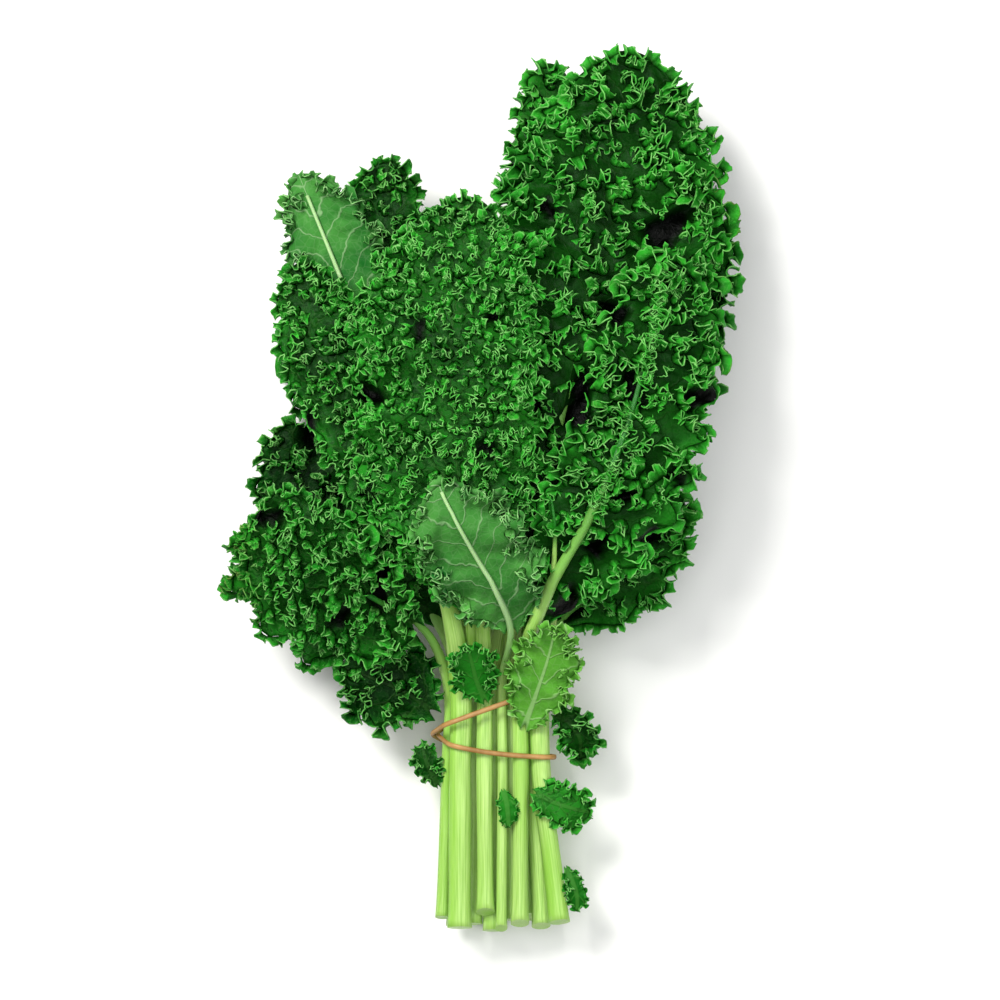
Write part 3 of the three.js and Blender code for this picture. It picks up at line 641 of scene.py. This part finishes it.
def blade_places(line, left, right, share, across, height_at, ruffle, seed):
    """Places on a blade, at shares of its length and of its reach to the left or right."""
    centre, along, side, length = line
    steps = np.linspace(0, 1, len(centre))
    middle = np.stack([np.interp(share, steps, centre[:, i]) for i in range(3)], axis=-1)
    forward = np.stack([np.interp(share, steps, along[:, i]) for i in range(3)], axis=-1)
    sideways = np.stack([np.interp(share, steps, side[:, i]) for i in range(3)], axis=-1)
    reach = np.where(across < 0, left, right)
    travel = share * length
    lobes = 1 + LOBE_DEPTH * across ** 2 * np.sin(2 * math.pi * travel / LOBE_LENGTH + seed * 2.1 + across)
    out = reach * across * width_share(share) * lobes
    back = across ** 2 * reach * (0.5 * share ** 5 + 0.3 * (1 - share) ** 4)
    point = middle + sideways * out[..., None]
    point[..., :2] -= forward[..., :2] * back[..., None]
    spread = np.abs(out) / max(left, right)
    height = ruffle[1] * depth_share(point[..., 0], 1) * spread ** 1.3
    phase = 2 * math.pi * travel / ruffle[0] + seed * 1.7 + np.where(across < 0, 1.3, 0)
    point[..., 2] = height_at(middle, point, np.abs(out)) + height * np.sin(phase)
    puckers = np.sin(travel / 1.7 + 3 * np.sin(out / 5)) * np.sin(out / 2.1 + 2 * np.sin(travel / 6))
    point[..., 2] += PUCKER_HEIGHT * puckers * smoothstep(np.abs(out), 1, 5)
    crumple = np.sin(travel / 3.4 + 2 * np.sin(out / 6 + seed))
    crumple = crumple * np.sin(out / 4.1 + 1.6 * np.sin(travel / 7 + 2 * seed))
    point[..., 2] += CRUMPLE_HEIGHT * crumple * smoothstep(np.abs(out), 1, 6)
    return point, out, travel


def curl_grid(draw, base, normal, height, wave, lean, ends, out, travel):
    """A strip that stands along a line of a blade and swings from side to side, more so at its edge."""
    step = np.linalg.norm(np.diff(base, axis=0), axis=1)
    run = np.concatenate([[0], np.cumsum(step)])
    forward = np.gradient(base, axis=0)
    forward /= np.linalg.norm(forward, axis=1)[:, None]
    outward = np.cross(normal, forward)
    outward /= np.linalg.norm(outward, axis=1)[:, None]
    lengths = [wave * share for share in WAVE_LENGTHS]
    phases = [2 * math.pi * run / length + 1.5 * wander(draw, run, 3.2 * length) + draw.uniform(0, FULL_TURN)
              for length in lengths]
    tall = height * (0.82 + 0.28 * wander(draw, run, 2.1 * wave)) * ends
    tall = tall * (1 + 0.12 * np.sin(phases[1] + 1) + 0.07 * np.abs(np.sin(phases[2])))
    tilt = lean * (0.3 + 0.9 * CURL_HEIGHTS) + 0.25 * wander(draw, run, 40)[:, None]
    for phase, length, swing, power in zip(phases, lengths, WAVE_SWINGS, WAVE_POWERS):
        tilt = tilt + swing * length * (power + 1) / height * np.sin(phase)[:, None] * CURL_HEIGHTS ** power
    rise = np.diff(CURL_HEIGHTS, prepend=0)[None, :] * tall[:, None]
    up = np.cumsum(np.cos(tilt) * rise, axis=1)
    over = np.cumsum(np.sin(tilt) * rise, axis=1)
    slip = 0.0
    for index, share, power in SLIPS:
        slip = slip + share * wave * np.sin(2 * phases[index])[:, None] * CURL_HEIGHTS ** power
    slip = slip * ends[:, None]
    grid = base[:, None] + up[..., None] * normal[:, None] + over[..., None] * outward[:, None]
    grid = grid - slip[..., None] * forward[:, None]
    levels = len(CURL_HEIGHTS)
    # The height on the curl, which sets its pale edge and its painted shade at the foot
    margin = np.repeat(CURL_HEIGHTS[None, :], len(run), axis=0)
    marks = np.stack([np.repeat(out[:, None], levels, axis=1) + tall[:, None] * CURL_HEIGHTS,
                      np.repeat(travel[:, None], levels, axis=1)], axis=-1)
    return grid, margin, marks


def sheet_object(name, grids, tone, frill):
    """One mesh from grids of places, with their nearness to the margin, which also sets their painted shade
    and light, place on the leaf and tone.
    """
    vertices, faces, margins_and_shade, marks, tones = [], [], [], [], []
    first = 0
    for grid, margin, mark, light_tint in grids:
        rows, columns = margin.shape
        index = first + np.arange(rows * columns).reshape(rows, columns)
        corners = (index[:-1, :-1], index[:-1, 1:], index[1:, 1:], index[1:, :-1])
        faces.append(np.stack(corners, axis=-1).reshape(-1, 4))
        vertices.append(grid.reshape(-1, 3))
        margins_and_shade.append(margin.ravel())
        marks.append(mark.reshape(-1, 2))
        tones.append(np.full(rows * columns, tone + light_tint, np.float32))
        first += rows * columns
    vertices, faces = np.vstack(vertices), np.vstack(faces)
    margins_and_shade, marks = np.concatenate(margins_and_shade), np.vstack(marks)
    vertices[:, 2] = np.maximum(vertices[:, 2], SHEET_CLEARANCE + 0.02 * np.sin(vertices[:, 0] * 7))
    mesh = bpy.data.meshes.new(name)
    mesh.from_pydata(in_frame(vertices), [], faces.tolist())
    uv = mesh.uv_layers.new(name="UVMap")
    corner = np.empty(len(mesh.loops), dtype=np.int32)
    mesh.loops.foreach_get("vertex_index", corner)
    uv.data.foreach_set("uv", marks[corner].ravel().astype(np.float32))
    frills = np.full(len(margins_and_shade), frill)
    for attribute, values in (("margin", margins_and_shade), ("tone", np.concatenate(tones)), ("frill", frills)):
        data = mesh.attributes.new(attribute, "FLOAT", "POINT").data
        data.foreach_set("value", values.astype(np.float32))
    mesh.polygons.foreach_set("use_smooth", np.ones(len(faces), dtype=bool))
    sheet = bpy.data.objects.new(name, mesh)
    bpy.context.collection.objects.link(sheet)
    bpy.ops.object.select_all(action="DESELECT")
    sheet.select_set(True)
    bpy.context.view_layer.objects.active = sheet
    bpy.ops.object.modifier_add(type="SOLIDIFY")
    thicken = sheet.modifiers[-1]
    thicken.thickness = SHEET_THICKNESS * MM
    thicken.offset = 0
    thicken.material_offset = 1
    bpy.ops.object.modifier_apply(modifier=thicken.name)
    return sheet


def maths(tree, operation, *values):
    """What one operation makes of values and sockets."""
    return add_node(tree, "Math", {"operation": operation} | dict(enumerate(values))).outputs[0]


def scaled(tree, colour, share):
    """A colour made darker by a share."""
    return add_node(tree, "VectorMath", {"operation": "SCALE", 0: colour, "Scale": share}).outputs[0]


def leaf_veins(tree, marks):
    """How much of a vein there is at a place: the middle rib, side veins at an angle and a fine net."""
    split = add_node(tree, "SeparateXYZ", {"Vector": marks})
    off = maths(tree, "ABSOLUTE", split.outputs["X"])
    sloped = maths(tree, "MULTIPLY_ADD", off, -VEIN_SLOPE, split.outputs["Y"])
    warped = maths(tree, "MULTIPLY_ADD", noise(tree, marks, 0.06, 3.0), 22.0, sloped)
    between = maths(tree, "PINGPONG", warped, VEIN_SPACING / 2)
    fade = remap(tree, off, 34.0, 8.0)
    side = maths(tree, "MULTIPLY", remap(tree, between, 0.8, 0.15, 0.0, 0.9), fade)
    taper = maths(tree, "MULTIPLY_ADD", split.outputs["Y"], 0.04, 1.0)
    middle = remap(tree, maths(tree, "MULTIPLY", off, taper), 1.9, 1.1)
    cells = add_node(tree, "TexVoronoi", {"feature": "DISTANCE_TO_EDGE", "Vector": marks, "Scale": NET_SCALE})
    net = remap(tree, cells.outputs["Distance"], 0.08, 0.02, 0.0, 0.14)
    return maths(tree, "MAXIMUM", maths(tree, "MAXIMUM", side, middle), net)


def blade_material(name, deep, light, edge, vein, vein_share, roughness, glow, foot_shade):
    """Leaf skin with veins, a paler cut edge, light that comes through it, and painted shade and light: at
    the foot of the curls, in the deep gaps and in tiny folds.
    """
    material, tree, shader = new_material(name)
    marks = add_node(tree, "UVMap", {"uv_map": "UVMap"}).outputs["UV"]
    margin, tone, frill = (add_node(tree, "Attribute", {"attribute_name": kept}).outputs["Fac"]
                           for kept in ("margin", "tone", "frill"))
    place = add_node(tree, "TexCoord", {}).outputs["Object"]
    shade = remap(tree, maths(tree, "ADD", noise(tree, place, CLOUD_SCALE, 3.0), tone), 0.7, 1.3)
    body = mix_colours(tree, shade, srgb(deep), srgb(light))
    veins = leaf_veins(tree, marks)
    veined = mix_colours(tree, maths(tree, "MULTIPLY", veins, vein_share), body, srgb(vein))

    # Tiny folds: painted shade in their hollows and painted light on their crests, and the pale line of an
    # edge here and there
    folds = noise(tree, place, FOLD_SCALE, 2.0, Distortion=1.2)
    fold_shading = remap(tree, folds, 0.36, 0.56, 0.25, 1.15)
    fold_shading_part = add_node(tree, "Mix", {"data_type": "FLOAT", 0: frill, 2: 1.0, 3: fold_shading}).outputs[0]
    line = maths(tree, "MULTIPLY", maths(tree, "COMPARE", folds, 0.5, 0.014), frill)
    fold_shaded = scaled(tree, veined, fold_shading_part)
    lined = mix_colours(tree, maths(tree, "MULTIPLY", line, 0.5), fold_shaded, srgb(edge))

    # Painted shade: darker at the foot of the curls, and nearly black in the deep gaps, where the margin is
    # under 0
    painted_foot_shade = remap(tree, margin, 0.0, 0.75, foot_shade, 1.0)
    painted_gap_shade = remap(tree, margin, -0.5, 0.0, 0.02, 1.0)
    shaded = scaled(tree, lined, maths(tree, "MULTIPLY", painted_foot_shade, painted_gap_shade))

    # The cut edge is pale, and dried brown in places on the outermost leaves
    edge_most = remap(tree, noise(tree, place, EDGE_SCALE), 0.4, 0.65, 0.1, 0.8)
    edge_part = remap(tree, margin, 0.86, 1.0, 0.0, edge_most)
    dried_part = remap(tree, noise(tree, place, CLOUD_SCALE), 0.48, 0.6, 0.0, 0.75)
    across = add_node(tree, "SeparateXYZ", {"Vector": place}).outputs["X"]
    outer_part = remap(tree, maths(tree, "ABSOLUTE", across), *OUTERMOST)
    tip_part = maths(tree, "MULTIPLY", dried_part, outer_part)
    edge_colour = mix_colours(tree, tip_part, srgb(edge), srgb("#6a5e24"))
    skin = mix_colours(tree, edge_part, shaded, edge_colour)
    tree.links.new(skin, shader.inputs["Base Color"])

    fold_relief = maths(tree, "MULTIPLY_ADD", folds, frill, noise(tree, place, BLISTER_SCALE, 3.0))
    relief = maths(tree, "MULTIPLY_ADD", veins, 0.8, fold_relief)
    bump = add_node(tree, "Bump", {"Strength": 0.6, "Distance": 0.0008, "Height": relief})
    tree.links.new(bump.outputs["Normal"], shader.inputs["Normal"])
    shader.inputs["Roughness"].default_value = roughness
    shader.inputs["Specular IOR Level"].default_value = 0.05
    through = add_node(tree, "BsdfTranslucent", {"Color": skin})
    both = add_node(tree, "MixShader", {0: glow, 1: shader.outputs[0], 2: through.outputs[0]})
    output = next(node for node in tree.nodes if node.type == "OUTPUT_MATERIAL")
    tree.links.new(both.outputs[0], output.inputs["Surface"])
    return material


# Fresh leaf skin: waxy, so that its deep green has a soft shine above. Below it is duller and greyer,
# and a young leaf's is a lighter, yellower green.
upper_skin = blade_material("waxy_leaf_face", "#04600c", "#34ac2c", "#8ed476", "#5fa845",
                            vein_share=0.4, roughness=0.42, glow=0.14, foot_shade=0.07)
lower_skin = blade_material("dull_leaf_back", "#1d6a24", "#5fae4c", "#a2d88c", "#b4dca2",
                            vein_share=0.5, roughness=0.5, glow=0.14, foot_shade=0.35)
young_skin = blade_material("young_leaf_back", "#247f1e", "#66b43c", "#a4d980", "#b6e096",
                            vein_share=0.55, roughness=0.5, glow=0.2, foot_shade=0.5)

COVER_CELL = 2.0
COVER_CORNER = np.array([-160.0, -260.0])
COVER_REACH = 0.78
cover = np.zeros((160, 260), dtype=bool)


def is_covered(places):
    """Whether a leaf that lies higher in the bunch, and is built by then, is over each place."""
    cell = np.round((places[..., :2] - COVER_CORNER) / COVER_CELL).astype(int)
    return cover[cell[..., 0], cell[..., 1]]


def blade_grids(draw, line, leaf, height_at, normal_at, ruffle, seed, curl, rows, columns, in_bunch):
    """The grids of one blade: its sheet, the curls of its margin and the curls that stand over it."""
    left, right, length = leaf["left"], leaf["right"], line[3]
    share = np.repeat(np.linspace(0, 1, rows)[:, None], columns, axis=1)
    across = np.repeat(np.linspace(-RIM_SHARE, RIM_SHARE, columns)[None, :], rows, axis=0)
    point, out, travel = blade_places(line, left, right, share, across, height_at, ruffle, seed)
    gap = gap_share(point) if in_bunch else np.zeros_like(share)
    # The sheet's painted light and shade: darker near the rib, lighter towards its edge, and nearly black in
    # the deep gaps
    lit = curl["open"] + (0.7 - curl["open"]) * np.abs(across) ** 6
    point[..., 2] -= GAP_DEPTH * gap
    grids = [(point, lit * (1 - gap) - 0.5 * gap, np.stack([out, travel], axis=-1), 0.0)]

    def add_curls(path_share, path_across, lean, height, wave, ends, gaps, blur, light_tint, hidden_too=False):
        """Stands curls along a line of the blade, wherever it is free: not covered and not in a gap."""
        places = blade_places(line, left, right, path_share, path_across, height_at, ruffle, seed)
        base, base_out, base_travel = places
        free = (path_share < 0.995) & (np.abs(path_across) < 0.975)
        if in_bunch and not hidden_too:
            free = free & ~is_covered(base) & (gap_share(base) < OPEN_GAP)
        open_share = np.convolve(free, np.ones(blur) / blur, mode="same")
        low = 1 - gaps * (1 - clumps(base))
        normal = normal_at(base)
        bounds = np.flatnonzero(np.diff(np.concatenate([[0], open_share > 0.04, [0]])))
        for first, last in zip(bounds[::2], bounds[1::2]):
            part = slice(first, last)
            if last - first > LEAST_STEPS and low[part].mean() > 0.4:
                strip = curl_grid(draw, base[part], normal[part], height, wave, lean,
                                  (ends * open_share * low)[part], base_out[part], base_travel[part])
                grids.append(strip + (light_tint + PATCH_LIGHT_CHANGE * light_and_shade_patch(base[part]).mean(),))

    # The margin: up one side, round the tip and down the other, with longer steps on the lower leaves
    step = max(LEAST_STEP, CURL_STEP_SHARE * curl["wave"])
    lower = leaf["level"] <= 0
    margin_step = step * (1.5 if lower else 1)
    side_steps = int(1.15 * length / margin_step)
    tip_steps = int(1.1 * (left + right) * 0.55 / margin_step)
    path_share = np.concatenate([np.linspace(0, 0.99, side_steps), np.full(tip_steps, 0.99),
                                 np.linspace(0.99, 0, side_steps)])
    path_across = np.concatenate([-np.ones(side_steps), np.linspace(-1, 1, tip_steps + 2)[1:-1],
                                  np.ones(side_steps)])
    run = np.linspace(0, 1, len(path_share))
    ends = smoothstep(run, 0, 0.06) * smoothstep(1 - run, 0, 0.06)
    add_curls(path_share, RIM_SHARE * path_across, 0.9, curl["height"] * 0.75, curl["wave"] * 1.5, ends,
              0.3 * curl["gaps"], PATH_BLUR, 0.0, lower)

    # Where the rib lies on top, a line of curls on each side leans in over it
    rib_from = curl["rib_from"]
    over_rib = leaf["rib"] == 1 and rib_from < 0.9
    for sign in (-1, 1) if over_rib else ():
        path_share = np.linspace(rib_from, TUFT_END, int(length * (TUFT_END - rib_from) / step))
        path_across = sign * (0.09 + 0.07 * wander(draw, path_share * length, 16))
        ends = smoothstep(path_share, rib_from, rib_from + 0.1)
        add_curls(path_share, path_across, 0.55 * sign, curl["height"] * 0.9, curl["wave"], ends,
                  0.2, PATH_BLUR, 0.0)

    # The tufts: seats in staggered rows, and more along a rib that lies on top, each with a round curl
    spacing = curl["spacing"]
    row_step = ROW_SHARE * spacing
    seats = [(row_step * (row + 0.4), place) for row in range(int(length / row_step) + 1)
             for place in np.arange(-left + 0.5 * spacing * (row % 2), right + 0.5 * spacing, spacing)]
    if over_rib:
        places = np.arange(rib_from * length, TUFT_END * length, 0.62 * spacing)
        seats += [(place, DRIFT * spacing * (-1) ** count) for count, place in enumerate(places)]
    for seat_travel, seat_out in seats:
        at_travel = seat_travel + DRIFT * spacing * draw.uniform(-1, 1)
        at_out = seat_out + DRIFT * spacing * draw.uniform(-1, 1)
        size = curl["tuft"] * draw.uniform(*TUFT_SIZES)
        turn = draw.uniform(0, FULL_TURN)
        sweep = draw.uniform(*TUFT_SWEEPS)
        lean = draw.uniform(*TUFT_LEANS)
        tall = draw.uniform(*TUFT_HEIGHTS)
        # Each tuft a little lighter or darker: painted light and shade among the tufts
        light_tint = TUFT_LIGHT_CHANGE * draw.uniform(-1, 1)
        at_share = at_travel / length
        off = abs(at_out) / ((left if at_out < 0 else right) * width_share(at_share)) if at_share < 1 else 2
        inner = curl["inner"] if at_out < 0 else curl.get("inner_right", curl["inner"])
        if at_share < curl["begin"] or off > TUFT_END or (off < inner and at_share < rib_from):
            continue
        run = np.linspace(0, 1, int(sweep * size / step))
        angle = turn - sweep * run
        radius = size * (1 + 0.25 * np.sin(2 * angle + 5 * turn))
        path_share = np.clip((at_travel + radius * np.cos(angle)) / length, 0.002, 1)
        path_out = at_out + radius * np.sin(angle)
        path_across = path_out / (np.where(path_out < 0, left, right) * width_share(path_share))
        ends = smoothstep(run, 0, 0.12) * smoothstep(1 - run, 0, 0.12)
        add_curls(path_share, path_across, lean, curl["height"] * tall, curl["wave"], ends,
                  curl["gaps"], TUFT_BLUR, light_tint)
    return grids


by_level = sorted(range(1, len(LEAVES) + 1), key=lambda number: -LEAVES[number - 1]["level"])
for number in by_level:
    leaf = LEAVES[number - 1]
    draw = np.random.default_rng(300 + number)
    points, blade_start = leaf_route(leaf)
    centre, along, side, up, travel = even_places(points, blade_start, 1, 400)
    level = leaf["level"]

    def height_at(middle, point, out):
        lift = middle[..., 2] - level_height(middle[..., 0], middle[..., 1], level)
        return level_height(point[..., 0], point[..., 1], level) + lift * np.exp(-out / 15)

    def normal_at(point):
        return level_normal(point[..., 0], point[..., 1], level)

    curl = USUAL_CURLS | CURLS[number]
    line = (centre, along, side, travel[-1])
    rows = int(travel[-1] / curl["mesh"])
    columns = int((leaf["left"] + leaf["right"]) / curl["mesh"])
    ruffle = (RUFFLE_LENGTH, RUFFLE_HEIGHT)
    grids = blade_grids(draw, line, leaf, height_at, normal_at, ruffle, number - 1, curl, rows, columns, True)
    share, across = np.meshgrid(np.linspace(0.03, 0.97, 240), np.linspace(-COVER_REACH, COVER_REACH, 90))
    reach = (leaf["left"], leaf["right"])
    shadow = blade_places(line, *reach, share, across, height_at, ruffle, number - 1)[0]
    cell = np.round((shadow[..., :2] - COVER_CORNER) / COVER_CELL).astype(int)
    cover[cell[..., 0], cell[..., 1]] = True
    blade = sheet_object(f"leaf_{number:02d}_sheet", grids, curl["tone"], curl["frill"])
    skins = [lower_skin, upper_skin] if number in PALE_SIDE_UP else [upper_skin, lower_skin]
    new_piece(f"leaf_{number:02d}_sheet", blade, skins, [f"leaf_{number:02d}_blade"])

# The small leaves that grow on the stems near the tie: the same thin sheet as the large leaves, each
# with its foot on a stem and its margin in small curls. Their places are in the bunch's millimetres.
LEAFLETS = [
    dict(route=[(16.8, -103, 39), (22, -88, 49), (27, -72, 59), (30, -58, 68)], reach=14, droop=0.012,
         height=5.5, wave=8, inner=0.55, tone=0.8),
    dict(route=[(30.6, -99, 35), (36, -102, 37), (41, -109, 36), (42, -119, 31)], reach=8, droop=0.01,
         height=6, wave=7, inner=0.2, tone=0.42),
    dict(route=[(-1.4, -92, 39.5), (-5, -83, 47), (-7, -75, 55), (-9, -67, 63)], reach=10, droop=0.014,
         height=4, wave=7, inner=0.45, tone=0.55),
    dict(route=[(21.6, -134, 38.3), (30, -138, 39.6), (39, -141, 38), (46, -143, 33)], reach=9.5, droop=0.02,
         height=5, wave=7, inner=0.3, tone=0.85),
    dict(route=[(35.2, -168, 33), (38, -174, 34.5), (40, -180, 34), (40.2, -187, 31)], reach=4.5, droop=0.02,
         height=2.5, wave=5, inner=0.5, tone=0.4),
    dict(route=[(-22.5, -131, 28.4), (-25, -126, 30), (-28, -119, 31), (-29.5, -112, 29)],
         reach=5.5, droop=0.02, height=3.5, wave=6, inner=0.3, tone=0.3),
    dict(route=[(7, -133, 37.8), (8.4, -138, 38.8), (9, -143, 38.6), (9.4, -149, 37.4)],
         reach=4.2, droop=0.02, height=2, wave=5, inner=0.5, tone=0.5),
    dict(route=[(-26, -97, 30), (-35, -90, 33), (-48, -84, 36), (-66, -77, 37)], reach=19, droop=0.008,
         height=8, wave=9, inner=0.0, tone=0.3),
]

# The frilly ones, how much painted light their sheets have, and how many rows and columns a sheet has
FRILLY = {2, 4, 6, 8}
PAINTED_SHEET_LIGHT = {2: 0.1, 4: 0.3, 6: 0.15, 8: 0.1}
SMALL_MESH = (26, 18)

for number, leaflet in enumerate(LEAFLETS, start=1):
    draw = np.random.default_rng(500 + number)
    centre, along, side, up, travel = even_places(np.array(leaflet["route"], dtype=float), 0, 1, 200)
    reach, droop = leaflet["reach"], leaflet["droop"]

    def height_at(middle, point, out):
        return middle[..., 2] - droop * out ** 2

    def normal_at(point):
        return np.repeat([[0.0, 0.0, 1.0]], len(point), axis=0)

    curl = dict(height=leaflet["height"], wave=0.62 * leaflet["wave"], tuft=0.45 * leaflet["height"],
                spacing=1.25 * leaflet["height"], inner=leaflet["inner"], rib_from=0.9, begin=0.15, gaps=0.3,
                open=PAINTED_SHEET_LIGHT.get(number, 0.5))
    sides = dict(left=reach, right=reach, level=1, rib=-1)
    grids = blade_grids(draw, (centre, along, side, travel[-1]), sides, height_at, normal_at,
                        (1.1 * reach, 0.14 * reach), number - 1, curl, *SMALL_MESH, False)
    small = sheet_object(f"small_leaf_{number:02d}", grids, leaflet["tone"], 0.5 if number in FRILLY else 0.0)
    skins = [young_skin, upper_skin] if number == 1 else [upper_skin, lower_skin]
    new_piece(f"small_leaf_{number:02d}", small, skins, [f"leaflet_{number:02d}"])
